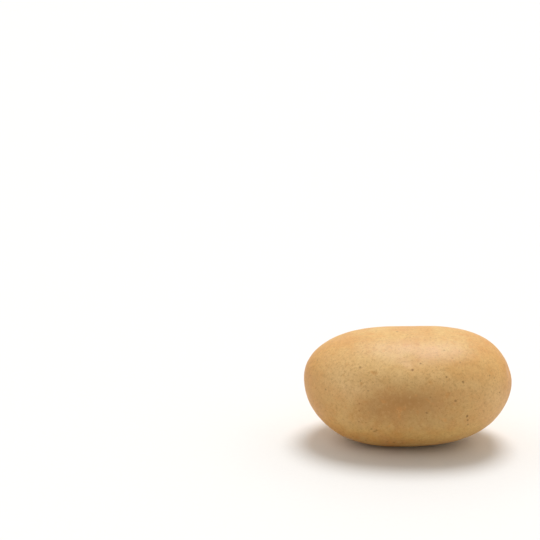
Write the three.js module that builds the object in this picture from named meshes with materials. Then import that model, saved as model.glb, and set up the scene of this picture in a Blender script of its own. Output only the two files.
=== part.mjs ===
// A smooth-skinned, long-oval potato lying on its side, grown as one piece.
// Millimetres, +Z up. The heel end, where the stolon was, points to -X and the rose end to +X.
// The origin is on the surface it lies on, below the middle of its outline box.
import * as THREE from "three";
import { mergeVertices } from "three/addons/utils/BufferGeometryUtils.js";

// Body: a blunt oval, before its swellings and eyes
const HALF_LENGTH = 47.5;
const HALF_DEPTH = 31.5;
const RISE_ABOVE_WAIST = 28.2;
const DROP_BELOW_WAIST = 26.5;
const LENGTHWISE_BLUNTNESS = 2.5; // 2 gives an ellipse, more gives fuller ends
const TOP_BLUNTER_BY = 0.1;
const SECTION_BLUNTNESS = 2.35;
const END_LIFT = 1.75; // both tips ride this much above the waist

// Broad swellings and hollows: where they are (to the rose end, to the back, up), how wide, how high
const SWELLINGS = [
  { name: "heel tip", toward: [-0.96, -0.05, 0.17], spread: 0.42, height: 2.9 },
  { name: "heel underside", toward: [-0.86, -0.15, -0.26], spread: 0.36, height: 0.7 },
  { name: "rose tip", toward: [0.97, -0.05, 0.12], spread: 0.4, height: 1.7 },
  { name: "rose shoulder", toward: [0.55, 0.3, 0.78], spread: 0.45, height: 1.3 },
  { name: "heel shoulder", toward: [-0.55, 0.3, 0.78], spread: 0.45, height: -0.6 },
  { name: "heel cheek", toward: [-0.5, -0.45, -0.75], spread: 0.4, height: 1.5 },
  { name: "rose flank", toward: [0.86, -0.3, -0.42], spread: 0.42, height: -1.1 },
  { name: "rose cheek", toward: [0.5, -0.45, -0.75], spread: 0.4, height: -0.7 },
  { name: "back swelling", toward: [-0.45, 0.85, 0.1], spread: 0.5, height: 1.6 },
  { name: "back hollow", toward: [0.5, 0.85, -0.15], spread: 0.38, height: -0.9 },
];

// Long low folds: place along the potato, degrees around it as for the eyes, reach, half width, height
const FOLDS = [
  { name: "front ridge", along: -1, around: 153, reach: 22, halfWidth: 9.5, height: 1.8 },
  { name: "front valley", along: 0, around: 183, reach: 17, halfWidth: 8.5, height: -1.6 },
];

// Eyes: shallow pits in a spiral from the rose end, each under a crescent brow on its heel side
const FIRST_EYE_ALONG = 43;
const EYE_SPACING = 7.4; // from the first eye to the second
const SPACING_GROWTH = 0.6; // added to each next spacing
const FIRST_EYE_AROUND = 105; // degrees about the long axis, from the back over the top
const EYE_TURN = -137.5; // degrees from one eye to the next
const EYE_STRENGTHS = [0.6, 1, 0.6, 1, 0.9, 0.35, 1, 0.4, 0.35]; // shallow to the front
const EYE_DEPTH = 1.4;
const PIT_LENGTH = 3.2; // along the potato
const PIT_WIDTH = 5.0; // around it
const BROW_HEIGHT = 0.75;
const BROW_REACH = 3.6; // from the pit's middle towards the heel
const BROW_CURVE = 0.07; // how fast the crescent's horns turn to the rose end, per millimetre
const BROW_THICKNESS = 1.6;
const BROW_HALF_WIDTH = 6.0;
const TIP_FAN_FROM = 30; // past this distance along, the eyes fan out to face the tip
const TIP_FAN = 4.2; // degrees for each millimetre past it

// Stolon scar: a small dished disc with a raised rim at the heel end
const SCAR_BEHIND_TIP = 9; // to the back
const SCAR_RADIUS = 3.0;
const SCAR_DEPTH = 1.1;
const SCAR_RIM_RADIUS = 4.2;
const SCAR_RIM_THICKNESS = 1.5;
const SCAR_RIM_HEIGHT = 0.5;

// Resting spot: the underside is pressed flat by this much, with an eased edge
const FLAT_DEPTH = 0.75;
const FLAT_EASE = 0.25;

const SPHERE_DETAIL = 22; // 20 * (22 + 1) ** 2 triangles

const SKIN = new THREE.MeshStandardMaterial({ color: 0xcfa468, roughness: 0.55, metalness: 0 });

/** A bell-shaped falloff that is 1 at 0 and about a third at 1. */
const bell = (t) => Math.exp(-t * t);

/** Distance from the origin as a superellipse counts it: power 2 gives the usual one. */
const superNorm = (a, b, power) => (Math.abs(a) ** power + Math.abs(b) ** power) ** (1 / power);

/** The blunt oval's point in the direction of a unit vector, measured from the waist. */
function bodyPoint(toward) {
  const { x, y, z } = toward;
  const bluntness = LENGTHWISE_BLUNTNESS + TOP_BLUNTER_BY * z;
  const section = superNorm(y, z, SECTION_BLUNTNESS);
  const reach = 1 / superNorm(x, section, bluntness);
  const share = reach * x;
  const rise = z > 0 ? RISE_ABOVE_WAIST : DROP_BELOW_WAIST;
  const height = rise * reach * z + END_LIFT * share ** 2;
  return new THREE.Vector3(HALF_LENGTH * share, HALF_DEPTH * reach * y, height);
}

/** How far the broad swellings push the surface out in a direction. */
function swelling(toward) {
  let height = 0;
  for (const form of SWELLINGS) {
    const angle = toward.angleTo(new THREE.Vector3(...form.toward));
    height += form.height * bell(angle / form.spread);
  }
  return height;
}

/** A place on the skin: a ray out from the long axis, with the directions to the rose end and aside. */
function place(along, aroundDegrees, leanDegrees) {
  const around = THREE.MathUtils.degToRad(aroundDegrees);
  const lean = THREE.MathUtils.degToRad(leanDegrees);
  const radial = new THREE.Vector3(0, Math.cos(around), Math.sin(around));
  const axis = new THREE.Vector3(1, 0, 0);
  const out = radial.clone().multiplyScalar(Math.cos(lean)).addScaledVector(axis, Math.sin(lean));
  const toRose = axis.clone().multiplyScalar(Math.cos(lean)).addScaledVector(radial, -Math.sin(lean));
  return { from: new THREE.Vector3(along, 0, 0), out, toRose, side: out.clone().cross(toRose) };
}

/** The eyes' places, each with its own strength. */
function makeEyes() {
  const eyes = [];
  let along = FIRST_EYE_ALONG;
  EYE_STRENGTHS.forEach((strength, i) => {
    const lean = Math.max(0, along - TIP_FAN_FROM) * TIP_FAN;
    const foot = Math.min(along, TIP_FAN_FROM);
    eyes.push({ ...place(foot, FIRST_EYE_AROUND + EYE_TURN * i, lean), strength });
    along -= EYE_SPACING + SPACING_GROWTH * i;
  });
  return eyes;
}

const EYES = makeEyes();
const PLACED_FOLDS = FOLDS.map((fold) => ({ ...fold, ...place(fold.along, fold.around, 0) }));

/** Relief of one long fold at a point, along the fold's outward ray. */
function foldRelief(fold, point) {
  const offset = point.clone().sub(fold.from);
  if (offset.dot(fold.out) < 0) return 0;
  const t = offset.dot(fold.toRose);
  const s = offset.dot(fold.side);
  return fold.height * bell(t / fold.reach) * bell(s / fold.halfWidth);
}

/** Relief of one eye at a point, along the eye's outward ray. */
function eyeRelief(eye, point) {
  const offset = point.clone().sub(eye.from);
  if (offset.dot(eye.out) < 0) return 0;
  const t = offset.dot(eye.toRose);
  const s = offset.dot(eye.side);
  const pit = -EYE_DEPTH * bell(t / PIT_LENGTH) * bell(s / PIT_WIDTH);
  const crescent = t + BROW_REACH - BROW_CURVE * s * s;
  const brow = BROW_HEIGHT * bell(crescent / BROW_THICKNESS) * bell(s / BROW_HALF_WIDTH);
  return eye.strength * (pit + brow);
}

/** Relief of the stolon scar, along -X. */
function scarRelief(point) {
  if (point.x > 0) return 0;
  const radius = Math.hypot(point.y - SCAR_BEHIND_TIP, point.z - END_LIFT);
  const rim = SCAR_RIM_HEIGHT * bell((radius - SCAR_RIM_RADIUS) / SCAR_RIM_THICKNESS);
  return rim - SCAR_DEPTH * bell(radius / SCAR_RADIUS);
}

/** The finished surface's point in a direction, measured from the waist. */
function skinPoint(toward) {
  const base = bodyPoint(toward).addScaledVector(toward, swelling(toward));
  const point = base.clone();
  for (const fold of PLACED_FOLDS) point.addScaledVector(fold.out, foldRelief(fold, base));
  for (const eye of EYES) point.addScaledVector(eye.out, eyeRelief(eye, base));
  point.x -= scarRelief(base);
  return point;
}

/** Height above the resting surface once the underside is pressed flat, eased round the spot. */
function pressedFlat(height) {
  if (height <= -FLAT_EASE) return 0;
  if (height >= FLAT_EASE) return height;
  return (height + FLAT_EASE) ** 2 / (4 * FLAT_EASE);
}

/** The potato as one closed geometry, standing on z = 0 with its outline box centred on the origin. */
function potatoGeometry() {
  const sphere = new THREE.IcosahedronGeometry(1, SPHERE_DETAIL);
  sphere.deleteAttribute("normal");
  sphere.deleteAttribute("uv");
  const geometry = mergeVertices(sphere);
  const positions = geometry.getAttribute("position");
  const points = [];
  for (let i = 0; i < positions.count; i++) {
    points.push(skinPoint(new THREE.Vector3().fromBufferAttribute(positions, i).normalize()));
  }
  const box = new THREE.Box3().setFromPoints(points);
  const middle = box.getCenter(new THREE.Vector3());
  const surface = box.min.z + FLAT_DEPTH;
  points.forEach((point, i) => {
    positions.setXYZ(i, point.x - middle.x, point.y - middle.y, pressedFlat(point.z - surface));
  });
  geometry.computeVertexNormals();
  return geometry;
}

const potato = new THREE.Mesh(potatoGeometry(), SKIN);
potato.name = "potato";

const part = new THREE.Group();
part.add(potato);

export default part;
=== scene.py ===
"""Looks of a long-oval potato: fine skin relief, a procedural skin and a plain white studio."""

import math

import bmesh
import bpy
from bpy.props import FloatProperty, FloatVectorProperty, IntProperty, PointerProperty
from mathutils import Matrix, Vector
from mathutils.bvhtree import BVHTree


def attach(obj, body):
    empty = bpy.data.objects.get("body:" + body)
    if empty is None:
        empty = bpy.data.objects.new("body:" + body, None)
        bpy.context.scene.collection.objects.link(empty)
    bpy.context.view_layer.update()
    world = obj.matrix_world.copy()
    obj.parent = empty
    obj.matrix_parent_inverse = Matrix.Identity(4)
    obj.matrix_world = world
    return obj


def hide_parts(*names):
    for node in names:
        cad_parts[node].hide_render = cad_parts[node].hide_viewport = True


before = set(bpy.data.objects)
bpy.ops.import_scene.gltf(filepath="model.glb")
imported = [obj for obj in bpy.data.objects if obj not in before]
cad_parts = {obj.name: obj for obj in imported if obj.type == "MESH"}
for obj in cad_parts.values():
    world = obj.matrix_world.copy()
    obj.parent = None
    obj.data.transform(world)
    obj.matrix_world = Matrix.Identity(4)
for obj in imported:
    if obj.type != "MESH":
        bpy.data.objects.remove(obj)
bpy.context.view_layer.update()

bl_info = {
    "name": "Potato Looks",
    "version": (1, 0, 0),
    "blender": (4, 5, 0),
    "location": "View3D > Sidebar > Potato",
    "description": "Finishes the skin of a potato and sets it on a white studio floor",
    "category": "Object",
}

MM = 0.001
NODE = "potato"
PIECE = "potato_skin"
MERGE_DISTANCE = 0.001 * MM

# The long axis and the spiral of the eyes, as in the solid
AXIS_POINT = Vector((0.7, -0.6, 25.8)) * MM
FIRST_EYE_ALONG = 43 * MM
EYE_SPACING = 7.4 * MM
SPACING_GROWTH = 0.6 * MM
FIRST_EYE_AROUND = math.radians(105)
EYE_TURN = math.radians(-137.5)
EYE_STRENGTHS = (0.6, 1, 0.6, 1, 0.9, 0.35, 1, 0.4, 0.35)
BROW_REACH = 3.6 * MM
BROW_CURVE = 0.07 / MM
TIP_FAN_FROM = 30 * MM
TIP_FAN = math.radians(4.2) / MM

# Fine parts of an eye: the crease under its brow, the bud in its pit and the stained skin round it
EYE_FADE = 2.5  # how much fainter they are on a shallow eye
CREASE_FROM_BROW = 1.7 * MM
CREASE_THICKNESS = 0.55 * MM
CREASE_HALF_WIDTH = 3.6 * MM
BUD_LENGTH = 0.9 * MM
BUD_WIDTH = 1.1 * MM
STAIN_LENGTH = 2.6 * MM
STAIN_WIDTH = 4.2 * MM

# Stolon scar at the heel end
SCAR_BEHIND_TIP = 9 * MM
END_LIFT = 1.75 * MM
SCAR_SIDE = AXIS_POINT.y + SCAR_BEHIND_TIP
SCAR_HEIGHT = AXIS_POINT.z + END_LIFT
SCAR_RADIUS = 3.2 * MM
SCAR_CORE = 0.5 * SCAR_RADIUS

# Scattered spots, from lenticels to marks: the smallest, the solid core and the random numbers
# between which a spot goes from missing to full strength
SMALLEST_SPOT = 0.35  # share of the largest one's radius
SPOT_CORE = 0.3  # share of its own radius
SPOT_STRENGTHS = (0.15, 0.75)

# Relief fades out between these heights, so the resting spot stays flat
REST_FADE = (0.4 * MM, 4 * MM)

# The photograph's frame and camera: the pixel that the potato's middle falls on, and its view
FRAME_PIXELS = 540
LENS = 100.0
SENSOR = 36.0
AIM_PIXEL = (407.5, 385.6)
AIM_POINT = Vector((0.5, 0.0, 26.1)) * MM
VIEW_DISTANCE = 0.729
VIEW_DOWN = math.radians(20)

# Marks that show on the front: pixels across and down the frame, radius in pixels, darkness
MARKS = (
    (412.0, 369.4, 1.7, 0.75),
    (420.0, 363.0, 1.2, 0.6),
    (359.6, 367.0, 1.7, 0.5),
    (446.0, 376.6, 1.3, 0.65),
    (462.7, 381.3, 1.4, 0.65),
    (455.0, 400.3, 1.4, 0.65),
    (426.2, 412.3, 1.6, 0.7),
    (466.6, 415.6, 1.8, 0.9),
    (466.9, 419.4, 1.6, 0.85),
    (467.2, 424.0, 1.3, 0.5),
    (373.6, 431.0, 1.6, 0.5),
    (376.0, 429.8, 1.4, 0.5),
    (393.6, 442.0, 1.7, 0.6),
    (371.0, 428.4, 1.6, 0.5),
    (365.6, 440.2, 1.5, 0.5),
    (387.0, 441.0, 1.3, 0.45),
    (402.0, 442.6, 1.4, 0.5),
    (352.4, 436.0, 1.2, 0.35),
    (325.0, 389.0, 1.4, 0.45),
    (367.8, 390.4, 1.3, 0.4),
    (360.0, 380.0, 1.3, 0.4),
    (443.8, 349.8, 1.3, 0.45),
    (458.7, 350.6, 1.1, 0.45),
    (451.8, 357.5, 1.2, 0.4),
    (459.6, 361.6, 1.2, 0.4),
    (428.5, 333.4, 1.2, 0.35),
    (409.4, 336.5, 1.2, 0.35),
    (316.8, 359.7, 1.3, 0.4),
    (430.0, 396.8, 1.2, 0.4),
    (489.4, 375.0, 1.2, 0.5),
    (493.8, 377.4, 1.0, 0.45),
)

# Broad painted light on the front, laid into the skin's colour: millimetres along and up, reach along and
# up, and share of the tone
# Painted shade: the dark band under the front's shoulder, a darker strip just above the resting spot and a
# darker left end
PAINTED_SHADE_PATCHES = (
    (2.0, 31.0, 18.0, 6.0, 0.72),
    (4.0, 22.0, 22.0, 8.0, 0.4),
    (-15.0, 25.0, 9.0, 6.0, 0.35),
    (3.0, 7.0, 20.0, 5.0, 0.25),
    (-41.0, 23.0, 6.0, 8.0, 0.25),
)
# Painted sheen: a pale highlight high across the front and on its right end
PAINTED_SHEEN_PATCHES = (
    (-28.0, 42.0, 14.0, 8.0, 0.75),
    (-6.0, 42.0, 14.0, 6.0, 0.6),
    (10.0, 42.0, 10.0, 5.0, 0.5),
    (-27.0, 34.0, 13.0, 7.0, 0.55),
    (27.0, 38.0, 14.0, 7.0, 0.55),
    (42.0, 29.0, 8.0, 9.0, 0.45),
)

# A mark fades out between these shares of its radius, and noise shifts its edge by up to this share
MARK_EDGE = (0.3, 1.15)
MARK_UNEVENNESS = 1.6

# Colours of the skin's settings
SKIN_COLOURS = ("tan", "straw", "painted_sheen", "ochre", "rose", "brown_and_shade", "amber", "rust", "umber")

# Sizes of the skin's patterns
CLOUD_SIZE = 24 * MM
BLUSH_SIZE = 14 * MM
BLUSH_SHIFT = (0.3, 0.1, 0.2)
BLOTCH_SIZE = 6 * MM
PATCH_SIZE = 4.5 * MM
PATCH_SHIFT = (0.1, 0.3, 0.4)
NET_SIZE = 2.6 * MM
NET_LINE = (0.02 * MM, 0.2 * MM)
MOTTLE_SIZE = 2.1 * MM
GRAIN_SIZE = 1.1 * MM
FINE_SIZE = 0.35 * MM

# Where the skin and the painted light change, along the potato from its middle and from front to back
ENDS = (24 * MM, 48 * MM)
TIPS = (42 * MM, 50 * MM)
ROSE_END = (22 * MM, 46 * MM)
# The front's painted shade and painted sheen fade out toward the back between these
PAINTED_LIGHT_FADE = (-20 * MM, 0.0)
SCATTERED_MARKS_START = (-22 * MM, -10 * MM)

# Most of its colour that each pattern adds to the skin
ENDS_SHARE = 0.6
TIPS_SHARE = 0.5
BLUSH_SHARE = 0.25
PATCH_SHARE = 0.5
MOTTLE_BROWN_SHARE = 0.24
MOTTLE_STRAW_SHARE = 0.35
GRAIN_SHARE = 0.52
FINE_SHARE = 0.4
PORE_SHARE = 0.7
SPECK_SHARE = 0.65
NET_SHARE = 0.3
STAIN_SHARE = 0.25
CREASE_SHARE = 0.55
SCAR_SHARE = 0.8
SCATTERED_MARK_SHARE = 0.6
MOST_STAIN = 0.6
MOST_CREASE = 0.85
MOST_MARK = 0.9

# Finest relief and finish of the skin
GRAIN_HEIGHT = 0.022 * MM
FINE_HEIGHT = 0.012 * MM
PORE_DENT = 0.05 * MM
MARK_DENT = 0.03 * MM
SKIN_ROUGHNESS = 0.5
BLOTCH_ROUGHNESS = 0.14
MARK_ROUGHNESS = 0.1
SCAR_ROUGHNESS = 0.2
SKIN_SPECULAR = 0.8

# Soft panels round the room: the way to each, how narrow it is, and its brightness
ROOM_PANELS = (
    ((-0.94, 0.0, 0.34), 4, 0.9),
    ((0.94, 0.0, 0.34), 4, 1.0),
    ((0.0, 0.97, 0.25), 4, 1.3),
    ((0.0, -0.94, 0.34), 4, 0.2),
    ((0.0, -0.71, 0.71), 8, 0.75),
    ((-0.71, 0.0, 0.71), 8, 0.4),
    ((-0.6, 0.5, 0.62), 12, 0.6),
    ((0.6, 0.5, 0.62), 12, 0.9),
)

# Paper floor
FLOOR_HALF = 8.0
FLOOR_GAP = 0.02 * MM
FLOOR_ROUGHNESS = 0.85
TOOTH_SIZE = 2 * MM
TOOTH_SHADE = 0.97


class Value:
    """One output of a node, whose arithmetic adds Math nodes to its tree."""

    def __init__(self, graph, socket):
        self.graph = graph
        self.socket = socket

    def __add__(self, other):
        return self.graph.math("ADD", self, other)

    def __radd__(self, other):
        return self.graph.math("ADD", other, self)

    def __sub__(self, other):
        return self.graph.math("SUBTRACT", self, other)

    def __rsub__(self, other):
        return self.graph.math("SUBTRACT", other, self)

    def __mul__(self, other):
        return self.graph.math("MULTIPLY", self, other)

    def __rmul__(self, other):
        return self.graph.math("MULTIPLY", other, self)

    def __truediv__(self, other):
        return self.graph.math("DIVIDE", self, other)

    def __rtruediv__(self, other):
        return self.graph.math("DIVIDE", other, self)

    def __neg__(self):
        return self.graph.math("MULTIPLY", self, -1.0)


class Graph:
    """Adds nodes to one tree, of a material, a world or geometry."""

    def __init__(self, tree):
        self.tree = tree

    def feed(self, socket, value):
        """Links a Value to a socket, or sets the socket to a plain value."""
        if isinstance(value, Value):
            self.tree.links.new(value.socket, socket)
        else:
            socket.default_value = value

    def node(self, kind, settings=None, inputs=None):
        """A new node: its type, its settings, and its sockets' values or links by name or place."""
        made = self.tree.nodes.new(kind)
        for name, setting in (settings or {}).items():
            setattr(made, name, setting)
        for key, value in (inputs or {}).items():
            self.feed(made.inputs[key], value)
        return made

    def out(self, made, key=0):
        """One output of a node as a Value."""
        return Value(self, made.outputs[key])

    def math(self, operation, *values):
        """A Math node on values or numbers."""
        return self.out(self.node("ShaderNodeMath", {"operation": operation}, dict(enumerate(values))))

    def vector(self, operation, *values, key=0):
        """A Vector Math node."""
        made = self.node("ShaderNodeVectorMath", {"operation": operation}, dict(enumerate(values)))
        return self.out(made, key)

    def dot(self, a, b):
        """Dot product of two vectors."""
        return self.vector("DOT_PRODUCT", a, b, key="Value")

    def split(self, vector):
        """The three components of a vector or colour."""
        made = self.node("ShaderNodeSeparateXYZ", inputs={0: vector})
        return [self.out(made, axis) for axis in "XYZ"]

    def bell(self, value):
        """A falloff that is 1 at 0 and about a third at 1."""
        return self.math("EXPONENT", -(value * value))

    def step(self, value, low, high):
        """A smooth step from 0 at low to 1 at high."""
        made = self.node(
            "ShaderNodeMapRange",
            {"interpolation_type": "SMOOTHSTEP"},
            {"Value": value, "From Min": low, "From Max": high},
        )
        return self.out(made)

    def noise(self, vector, size, detail=2.0, roughness=0.5):
        """Cloudy noise from about -0.5 to 0.5, in patches of about the given size."""
        made = self.node(
            "ShaderNodeTexNoise",
            inputs={"Vector": vector, "Scale": 1 / size, "Detail": detail, "Roughness": roughness},
        )
        return self.out(made) - 0.5

    def cells(self, vector, spacing):
        """Scattered points: the distance to the nearest in metres, and its three random numbers."""
        made = self.node("ShaderNodeTexVoronoi", inputs={"Vector": vector, "Scale": 1 / spacing})
        return self.out(made, "Distance") * spacing, self.split(self.out(made, "Color"))

    def cracks(self, vector, spacing):
        """Distance in metres to the nearest line of a network with cells of the given size."""
        made = self.node(
            "ShaderNodeTexVoronoi",
            {"feature": "DISTANCE_TO_EDGE"},
            {"Vector": vector, "Scale": 1 / spacing},
        )
        return self.out(made, "Distance") * spacing

    def blend(self, share, a, b):
        """From colour a to colour b by a share."""
        made = self.node("ShaderNodeMix", {"data_type": "RGBA"}, {0: share, 6: a, 7: b})
        return self.out(made, 2)


def colour(name, description, default):
    """A colour property."""
    return FloatVectorProperty(
        name=name,
        description=description,
        subtype="COLOR",
        size=4,
        min=0.0,
        max=1.0,
        default=(*default, 1.0),
    )


def length(name, description, default):
    """A length property."""
    return FloatProperty(name=name, description=description, default=default, unit="LENGTH", precision=5)


def angle(name, description, degrees):
    """An angle property."""
    return FloatProperty(name=name, description=description, default=math.radians(degrees), subtype="ANGLE")


class PotatoSkinSettings(bpy.types.PropertyGroup):
    """Sizes and colours of the skin."""

    edge_cuts: IntProperty(
        name="Edge Cuts", description="Cuts in each edge of the solid's triangles", default=3, min=0, max=3
    )
    facet_easing: IntProperty(
        name="Facet Easing", description="Rounds of smoothing over the solid's facets", default=8, min=0
    )
    lump_height: length("Lump Height", "Height of the broad unevenness", 0.22 * MM)
    lump_size: length("Lump Size", "Breadth of the broad unevenness", 17 * MM)
    ripple_height: length("Ripple Height", "Height of the shallow dimples", 0.05 * MM)
    ripple_size: length("Ripple Size", "Breadth of the shallow dimples", 4.5 * MM)
    pore_spacing: length("Pore Spacing", "Distance between scattered lenticels", 3.6 * MM)
    pore_radius: length("Pore Radius", "Radius of the largest lenticels", 0.6 * MM)
    pore_depth: length("Pore Depth", "Depth of a lenticel", 0.1 * MM)
    speck_spacing: length("Speck Spacing", "Distance between fine specks", 1.9 * MM)
    speck_radius: length("Speck Radius", "Radius of the largest specks", 0.34 * MM)
    mark_spacing: length("Mark Spacing", "Distance between dark marks away from the front", 5 * MM)
    mark_radius: length("Mark Radius", "Radius of the largest of those marks", 1.0 * MM)
    crease_depth: length("Crease Depth", "Depth of the crease under an eye's brow", 0.4 * MM)
    bud_height: length("Bud Height", "Height of the sleeping bud in an eye", 0.3 * MM)
    tan: colour("Tan", "Main colour of the skin", (0.68, 0.345, 0.075))
    straw: colour("Straw", "Paler patches", (0.725, 0.47, 0.15))
    # This colour is painted sheen, the highlight laid into the skin high on the front
    painted_sheen: colour("Cream", "Palest skin, high on the front", (0.9, 0.6, 0.26))
    ochre: colour("Ochre", "Warmer skin at the ends", (0.71, 0.34, 0.065))
    rose: colour("Rose", "Faint pink patches", (0.66, 0.325, 0.125))
    # This colour is the skin's own mottle and grain, and also the painted shade on the front
    brown_and_shade: colour("Brown", "Browner skin low on the front", (0.4, 0.17, 0.012))
    amber: colour("Amber", "Small warm patches", (0.66, 0.28, 0.04))
    rust: colour("Rust", "Lenticels and specks", (0.36, 0.135, 0.008))
    umber: colour("Umber", "Marks, creases and scars", (0.24, 0.088, 0.001))


class PotatoStageSettings(bpy.types.PropertyGroup):
    """Light and floor of the studio."""

    light_strength: FloatProperty(
        name="Light Strength", description="Strength of the soft light above and behind", default=2.02
    )
    lean_back: angle("Lean Back", "Lean of the light to the back", 20)
    lean_right: angle("Lean Right", "Lean of the light to the right", 5)
    light_spread: angle("Light Spread", "How wide the light is", 29)
    room_strength: FloatProperty(
        name="Room Light", description="Brightness of the room's panels", default=0.9
    )
    room_colour: colour("Room", "Colour of the room's panels", (1.0, 0.93, 0.84))
    floor_colour: colour("Floor", "Colour of the floor", (0.845, 0.86, 0.875))


def view_axes():
    """Where the camera stands, and its right, up and forward directions."""
    focal = FRAME_PIXELS * LENS / SENSOR
    middle = (FRAME_PIXELS - 1) / 2
    across = (AIM_PIXEL[0] - middle) / focal
    down = (AIM_PIXEL[1] - middle) / focal
    shorten = 1 / math.sqrt(1 + across**2 + down**2)
    pitch = math.asin(math.sin(VIEW_DOWN) / (shorten * math.hypot(1, down))) - math.atan(down)
    yaw = -math.atan2(across, math.cos(pitch) - down * math.sin(pitch))
    forward = Vector((math.sin(yaw) * math.cos(pitch), math.cos(yaw) * math.cos(pitch), -math.sin(pitch)))
    right = Vector((math.cos(yaw), -math.sin(yaw), 0))
    place = AIM_POINT - VIEW_DISTANCE * Vector((0, math.cos(VIEW_DOWN), -math.sin(VIEW_DOWN)))
    return place, right, right.cross(forward), forward


def mark_points(skin):
    """The marks' points on the skin, with their radius in metres and their darkness."""
    place, right, up, forward = view_axes()
    focal = FRAME_PIXELS * LENS / SENSOR
    middle = (FRAME_PIXELS - 1) / 2
    tree = BVHTree.FromBMesh(skin)
    points = []
    for across, down, radius, darkness in MARKS:
        ray = forward + right * ((across - middle) / focal) - up * ((down - middle) / focal)
        point, _, _, distance = tree.ray_cast(place, ray.normalized())
        if point is None:
            raise RuntimeError(f"the mark at pixel {across}, {down} misses the potato")
        points.append((point, radius * distance / focal, darkness))
    return points


def eye_places():
    """The eyes from the rose end on: foot on the long axis, way out, way to the rose end, strength."""
    places = []
    along = FIRST_EYE_ALONG
    axis = Vector((1, 0, 0))
    for i, strength in enumerate(EYE_STRENGTHS):
        around = FIRST_EYE_AROUND + EYE_TURN * i
        lean = max(0.0, along - TIP_FAN_FROM) * TIP_FAN
        radial = Vector((0, math.cos(around), math.sin(around)))
        out = radial * math.cos(lean) + axis * math.sin(lean)
        to_rose = axis * math.cos(lean) - radial * math.sin(lean)
        places.append((AXIS_POINT + axis * min(along, TIP_FAN_FROM), out, to_rose, strength))
        along -= EYE_SPACING + SPACING_GROWTH * i
    return places


def eye_fields(graph, position):
    """Over all eyes: how far a point is in a crease, on a bud and in stained skin."""
    crease = 0.0
    bud = 0.0
    stain = 0.0
    for foot, out, to_rose, strength in eye_places():
        offset = graph.vector("SUBTRACT", position, foot)
        t = graph.dot(offset, to_rose)
        s = graph.dot(offset, out.cross(to_rose))
        facing = graph.math("GREATER_THAN", graph.dot(offset, out), 0.0) * (strength**EYE_FADE)
        behind = t + (BROW_REACH - CREASE_FROM_BROW) - s * s * BROW_CURVE
        crease = crease + facing * graph.bell(behind / CREASE_THICKNESS) * graph.bell(s / CREASE_HALF_WIDTH)
        bud = bud + facing * graph.bell(t / BUD_LENGTH) * graph.bell(s / BUD_WIDTH)
        stain = stain + facing * graph.bell(t / STAIN_LENGTH) * graph.bell(s / STAIN_WIDTH)
    return crease, bud, stain


def painted_light_field(graph, position, painted_patches):
    """How far a point on the front is in broad patches of painted shade or painted sheen, which fade out
    toward the back.
    """
    x, y, z = graph.split(position)
    share = 0.0
    for along, up, reach, rise, amount in painted_patches:
        across = graph.bell((x - along * MM) / (reach * MM))
        share = share + across * graph.bell((z - up * MM) / (rise * MM)) * amount
    return share * (1.0 - graph.step(y, *PAINTED_LIGHT_FADE))


def scar_field(graph, position):
    """How far a point is in the stolon scar at the heel end."""
    x, y, z = graph.split(position)
    back = y - SCAR_SIDE
    rise = z - SCAR_HEIGHT
    radius = graph.math("SQRT", back * back + rise * rise)
    ragged = radius + graph.noise(position, SCAR_RADIUS) * SCAR_RADIUS
    return (1.0 - graph.step(ragged, SCAR_CORE, SCAR_RADIUS)) * graph.math("LESS_THAN", x, 0.0)


def spot_field(graph, position, spacing, radius):
    """How far a point is in a scattered spot: 0 outside, up to 1 in the middle."""
    distance, (size, strength, _) = graph.cells(position, spacing)
    reach = (SMALLEST_SPOT + (1 - SMALLEST_SPOT) * (size * size)) * radius
    return (1.0 - graph.step(distance / reach, SPOT_CORE, 1.0)) * graph.step(strength, *SPOT_STRENGTHS)


def mark_field(graph, position, marks, unevenness):
    """How dark a point is with the marks of the front, whose outlines a noise makes uneven."""
    dark = 0.0
    for point, radius, darkness in marks:
        distance = graph.vector("DISTANCE", position, point, key="Value")
        ragged = distance + unevenness * (MARK_UNEVENNESS * radius)
        edge = (share * radius for share in MARK_EDGE)
        dark = dark + (1.0 - graph.step(ragged, *edge)) * darkness
    return dark


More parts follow.
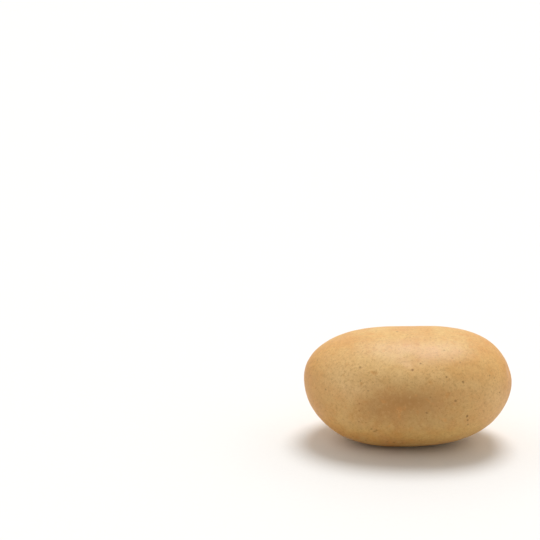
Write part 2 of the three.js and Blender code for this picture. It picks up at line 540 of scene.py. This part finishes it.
def relief_tree(settings, material):
    """Geometry Nodes that ease the solid's facets and raise the skin's fine relief, and their inputs."""
    tree = bpy.data.node_groups.new("Potato skin relief", "GeometryNodeTree")
    graph = Graph(tree)
    sockets = [("Facet Easing", "NodeSocketInt", settings.facet_easing)]
    for name in (
        "Lump Height",
        "Lump Size",
        "Ripple Height",
        "Ripple Size",
        "Pore Spacing",
        "Pore Radius",
        "Pore Depth",
        "Crease Depth",
        "Bud Height",
    ):
        sockets.append((name, "NodeSocketFloat", getattr(settings, name.lower().replace(" ", "_"))))
    sockets.append(("Material", "NodeSocketMaterial", material))
    tree.interface.new_socket("Geometry", in_out="INPUT", socket_type="NodeSocketGeometry")
    inputs = {}
    for name, kind, value in sockets:
        made = tree.interface.new_socket(name, in_out="INPUT", socket_type=kind)
        inputs[made.identifier] = value
    tree.interface.new_socket("Geometry", in_out="OUTPUT", socket_type="NodeSocketGeometry")
    given = graph.node("NodeGroupInput")
    ask = {socket.name: Value(graph, socket) for socket in given.outputs if socket.name}

    here = graph.out(graph.node("GeometryNodeInputPosition"))
    easing = graph.node(
        "GeometryNodeBlurAttribute",
        {"data_type": "FLOAT_VECTOR"},
        {"Value": here, "Iterations": ask["Facet Easing"]},
    )
    eased = graph.node(
        "GeometryNodeSetPosition",
        inputs={"Geometry": ask["Geometry"], "Position": graph.out(easing, "Value")},
    )
    flow = graph.out(eased)

    crease, bud, stain = eye_fields(graph, here)
    scar = scar_field(graph, here)
    for name, field in (("eye_crease", crease), ("eye_stain", stain), ("heel_scar", scar)):
        kept = graph.node(
            "GeometryNodeStoreNamedAttribute",
            {"data_type": "FLOAT", "domain": "POINT"},
            {"Geometry": flow, "Name": name, "Value": field},
        )
        flow = graph.out(kept)

    lumps = graph.noise(here, ask["Lump Size"]) * ask["Lump Height"] * 2.0
    ripples = graph.noise(here, ask["Ripple Size"]) * ask["Ripple Height"] * 2.0
    pores = spot_field(graph, here, ask["Pore Spacing"], ask["Pore Radius"]) * ask["Pore Depth"]
    eyes = bud * ask["Bud Height"] - crease * ask["Crease Depth"]
    height = graph.split(here)[2]
    relief = (lumps + ripples + eyes - pores) * graph.step(height, *REST_FADE)
    normal = graph.out(graph.node("GeometryNodeInputNormal"))
    push = graph.node("ShaderNodeVectorMath", {"operation": "SCALE"}, {0: normal, "Scale": relief})
    raised = graph.node("GeometryNodeSetPosition", inputs={"Geometry": flow, "Offset": graph.out(push)})
    rounded = graph.node("GeometryNodeSetShadeSmooth", inputs={"Geometry": graph.out(raised)})
    whole = graph.node("GeometryNodeRealizeInstances", inputs={"Geometry": graph.out(rounded)})
    coated = graph.node(
        "GeometryNodeSetMaterial", inputs={"Geometry": graph.out(whole), "Material": ask["Material"]}
    )
    graph.node("NodeGroupOutput", inputs={"Geometry": graph.out(coated)})
    return tree, inputs


def skin_material(settings, marks):
    """Thin satin skin: blotched tan, warmer ends, grain, lenticels, marks and stained eyes, with painted
    sheen and painted shade on the front.
    """
    material = bpy.data.materials.new("Potato skin")
    material.use_nodes = True
    material.node_tree.nodes.clear()
    graph = Graph(material.node_tree)
    position = graph.out(graph.node("ShaderNodeTexCoord"), "Object")
    x, y, _ = graph.split(position)
    along = graph.math("ABSOLUTE", x)
    tint = {name: tuple(getattr(settings, name)) for name in SKIN_COLOURS}

    def attribute(name):
        return graph.out(graph.node("ShaderNodeAttribute", {"attribute_name": name}), "Fac")

    cloud = graph.noise(position, CLOUD_SIZE, detail=3.0)
    blush = graph.noise(graph.vector("ADD", position, BLUSH_SHIFT), BLUSH_SIZE)
    blotch = graph.noise(position, BLOTCH_SIZE, detail=3.0, roughness=0.6)
    patch = graph.noise(graph.vector("ADD", position, PATCH_SHIFT), PATCH_SIZE)
    mottle = graph.noise(position, MOTTLE_SIZE, detail=3.0, roughness=0.65)
    grain = graph.noise(position, GRAIN_SIZE, detail=3.0, roughness=0.65)
    fine = graph.noise(position, FINE_SIZE)

    pores = spot_field(graph, position, settings.pore_spacing, settings.pore_radius)
    specks = spot_field(graph, position, settings.speck_spacing, settings.speck_radius)
    scattered = spot_field(graph, position, settings.mark_spacing, settings.mark_radius)
    scattered = scattered * graph.step(y, *SCATTERED_MARKS_START)
    spots = mark_field(graph, position, marks, mottle) + scattered * SCATTERED_MARK_SHARE
    crease = attribute("eye_crease")
    stain = attribute("eye_stain")
    scar = attribute("heel_scar") * (0.7 + mottle + grain)
    net = 1.0 - graph.step(graph.cracks(position, NET_SIZE), *NET_LINE)
    netting = net * graph.step(x, *ROSE_END) * graph.step(blotch, 0.0, 0.25)

    # Layers from the broadest to the darkest: the share and the name of the colour each one brings.
    # A step on noise starts at its first level and is full at its second.
    # Painted sheen: lighter high on the front, where a highlight falls
    pale = painted_light_field(graph, position, PAINTED_SHEEN_PATCHES) * (1.0 + blotch)
    # Painted shade: darker in the band under the front's shoulder, just above the resting spot and at the
    # left end
    painted_shade_share = painted_light_field(graph, position, PAINTED_SHADE_PATCHES) * (1.0 + blotch * 0.5)
    layers = (
        (graph.step(cloud + blotch * 0.5, -0.2, 0.25), "straw"),
        (graph.step(along, *ENDS) * ENDS_SHARE, "ochre"),
        (graph.step(along, *TIPS) * (TIPS_SHARE + blotch * 0.6), "amber"),
        (graph.step(blush + blotch * 0.3, 0.02, 0.25) * BLUSH_SHARE, "rose"),
        # The front's painted sheen, then its painted shade
        (pale, "painted_sheen"),
        (painted_shade_share, "brown_and_shade"),
        (graph.step(patch, 0.08, 0.26) * PATCH_SHARE, "amber"),
        (graph.step(mottle, -0.15, 0.3) * MOTTLE_BROWN_SHARE, "brown_and_shade"),
        (graph.step(-mottle, 0.0, 0.3) * MOTTLE_STRAW_SHARE, "straw"),
        (graph.step(grain, -0.05, 0.3) * GRAIN_SHARE, "brown_and_shade"),
        (graph.step(fine, 0.0, 0.3) * FINE_SHARE, "rust"),
        (pores * PORE_SHARE, "rust"),
        (specks * SPECK_SHARE, "rust"),
        (netting * NET_SHARE, "rust"),
        (graph.math("MINIMUM", stain * STAIN_SHARE, MOST_STAIN), "ochre"),
        (graph.math("MINIMUM", crease * CREASE_SHARE + scar * SCAR_SHARE, MOST_CREASE), "umber"),
        (graph.math("MINIMUM", spots, MOST_MARK), "umber"),
    )
    skin = tint["tan"]
    for share, name in layers:
        skin = graph.blend(share, skin, tint[name])

    uneven = SKIN_ROUGHNESS + blotch * BLOTCH_ROUGHNESS
    roughness = uneven + spots * MARK_ROUGHNESS + scar * SCAR_ROUGHNESS
    height = grain * GRAIN_HEIGHT + fine * FINE_HEIGHT - pores * PORE_DENT - spots * MARK_DENT
    bump = graph.node("ShaderNodeBump", inputs={"Strength": 1.0, "Distance": 1.0, "Height": height})
    shader = graph.node(
        "ShaderNodeBsdfPrincipled",
        inputs={
            "Base Color": skin,
            "Roughness": roughness,
            "Specular IOR Level": SKIN_SPECULAR,
            "Normal": graph.out(bump),
        },
    )
    graph.node("ShaderNodeOutputMaterial", inputs={"Surface": graph.out(shader)})
    return material


def floor_material(settings):
    """Matt white paper with a hardly visible tooth."""
    material = bpy.data.materials.new("White floor")
    material.use_nodes = True
    material.node_tree.nodes.clear()
    graph = Graph(material.node_tree)
    position = graph.out(graph.node("ShaderNodeTexCoord"), "Object")
    tooth = graph.noise(position, TOOTH_SIZE, detail=3.0)
    pale = tuple(settings.floor_colour)
    shade = tuple(TOOTH_SHADE * part for part in pale[:3]) + (1.0,)
    paper = graph.blend(tooth + 0.5, pale, shade)
    shader = graph.node(
        "ShaderNodeBsdfPrincipled", inputs={"Base Color": paper, "Roughness": FLOOR_ROUGHNESS}
    )
    graph.node("ShaderNodeOutputMaterial", inputs={"Surface": graph.out(shader)})
    return material


class POTATO_OT_skin(bpy.types.Operator):
    """Makes the potato's skin from the solid, with its fine relief and its material"""

    bl_idname = "potato.skin"
    bl_label = "Make Skin"

    def execute(self, context):
        settings = context.scene.potato_skin
        fine = bmesh.new()
        fine.from_mesh(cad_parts[NODE].data)
        bmesh.ops.remove_doubles(fine, verts=fine.verts, dist=MERGE_DISTANCE)
        marks = mark_points(fine)
        bmesh.ops.subdivide_edges(fine, edges=fine.edges, cuts=settings.edge_cuts, use_grid_fill=True)
        mesh = bpy.data.meshes.new(PIECE)
        fine.to_mesh(mesh)
        fine.free()
        piece = bpy.data.objects.new(PIECE, mesh)
        context.scene.collection.objects.link(piece)

        tree, inputs = relief_tree(settings, skin_material(settings, marks))
        modifier = piece.modifiers.new("Skin relief", "NODES")
        modifier.node_group = tree
        for identifier, value in inputs.items():
            modifier[identifier] = value
        evaluated = piece.evaluated_get(context.evaluated_depsgraph_get())
        finished = bpy.data.meshes.new_from_object(evaluated)
        piece.modifiers.clear()
        piece.data = finished
        if len(finished.polygons) == 0:
            raise RuntimeError("the skin relief gave no faces")
        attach(piece, "root")
        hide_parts(NODE)
        return {"FINISHED"}


class POTATO_OT_stage(bpy.types.Operator):
    """Makes the white floor, the soft light, the pale room and the camera"""

    bl_idname = "potato.stage"
    bl_label = "Make Stage"

    def execute(self, context):
        settings = context.scene.potato_stage
        self.make_floor(context, settings)
        self.make_light(context, settings)
        self.make_room(context, settings)
        self.make_camera(context)
        return {"FINISHED"}

    def make_floor(self, context, settings):
        """A wide flat floor just under the potato."""
        grid = bmesh.new()
        bmesh.ops.create_grid(grid, x_segments=1, y_segments=1, size=FLOOR_HALF)
        bmesh.ops.translate(grid, verts=grid.verts, vec=(0, 0, -FLOOR_GAP))
        mesh = bpy.data.meshes.new("floor")
        grid.to_mesh(mesh)
        grid.free()
        mesh.materials.append(floor_material(settings))
        floor = bpy.data.objects.new("floor", mesh)
        context.scene.collection.objects.link(floor)

    def make_light(self, context, settings):
        """A wide light from above, behind and a little to the right, that lights the floor evenly."""
        light = bpy.data.lights.new("Soft light", "SUN")
        light.energy = settings.light_strength
        light.angle = settings.light_spread
        lamp = bpy.data.objects.new("Soft light", light)
        lamp.rotation_euler = (-settings.lean_back, settings.lean_right, 0)
        context.scene.collection.objects.link(lamp)

    def make_room(self, context, settings):
        """A room of soft warm panels, white to the camera."""
        world = bpy.data.worlds.new("White room")
        context.scene.world = world
        world.use_nodes = True
        world.node_tree.nodes.clear()
        graph = Graph(world.node_tree)
        way = graph.out(graph.node("ShaderNodeTexCoord"), "Generated")
        glow = 0.0
        for panel, narrowness, brightness in ROOM_PANELS:
            facing = graph.math("MAXIMUM", graph.dot(way, Vector(panel).normalized()), 0.0)
            glow = glow + graph.math("POWER", facing, float(narrowness)) * brightness
        seen = graph.out(graph.node("ShaderNodeLightPath"), "Is Camera Ray")
        strength = graph.math("MAXIMUM", glow * settings.room_strength, seen)
        tint = graph.blend(seen, tuple(settings.room_colour), (1.0, 1.0, 1.0, 1.0))
        room = graph.node("ShaderNodeBackground", inputs={"Color": tint, "Strength": strength})
        graph.node("ShaderNodeOutputWorld", inputs={"Surface": graph.out(room)})
        context.scene.view_settings.view_transform = "Standard"

    def make_camera(self, context):
        """The camera at the photograph's viewing angle."""
        place, right, up, forward = view_axes()
        lens = bpy.data.cameras.new("Camera")
        lens.lens = LENS
        lens.sensor_width = SENSOR
        camera = bpy.data.objects.new("Camera", lens)
        turn = Matrix((right, up, -forward)).transposed()
        camera.matrix_world = Matrix.Translation(place) @ turn.to_4x4()
        context.scene.collection.objects.link(camera)
        context.scene.camera = camera


class POTATO_PT_looks(bpy.types.Panel):
    """Sizes, colours and the steps of the potato's looks"""

    bl_label = "Potato Looks"
    bl_space_type = "VIEW_3D"
    bl_region_type = "UI"
    bl_category = "Potato"

    def draw(self, context):
        groups = (
            (context.scene.potato_skin, POTATO_OT_skin.bl_idname),
            (context.scene.potato_stage, POTATO_OT_stage.bl_idname),
        )
        for settings, operator in groups:
            box = self.layout.box()
            for name in settings.__annotations__:
                box.prop(settings, name)
            box.operator(operator)


CLASSES = (PotatoSkinSettings, PotatoStageSettings, POTATO_OT_skin, POTATO_OT_stage, POTATO_PT_looks)


def register():
    for cls in CLASSES:
        bpy.utils.register_class(cls)
    bpy.types.Scene.potato_skin = PointerProperty(type=PotatoSkinSettings)
    bpy.types.Scene.potato_stage = PointerProperty(type=PotatoStageSettings)


def unregister():
    del bpy.types.Scene.potato_stage
    del bpy.types.Scene.potato_skin
    for cls in reversed(CLASSES):
        bpy.utils.unregister_class(cls)


def main():
    register()
    bpy.ops.potato.skin()
    bpy.ops.potato.stage()


if __name__ == "__main__":
    main()
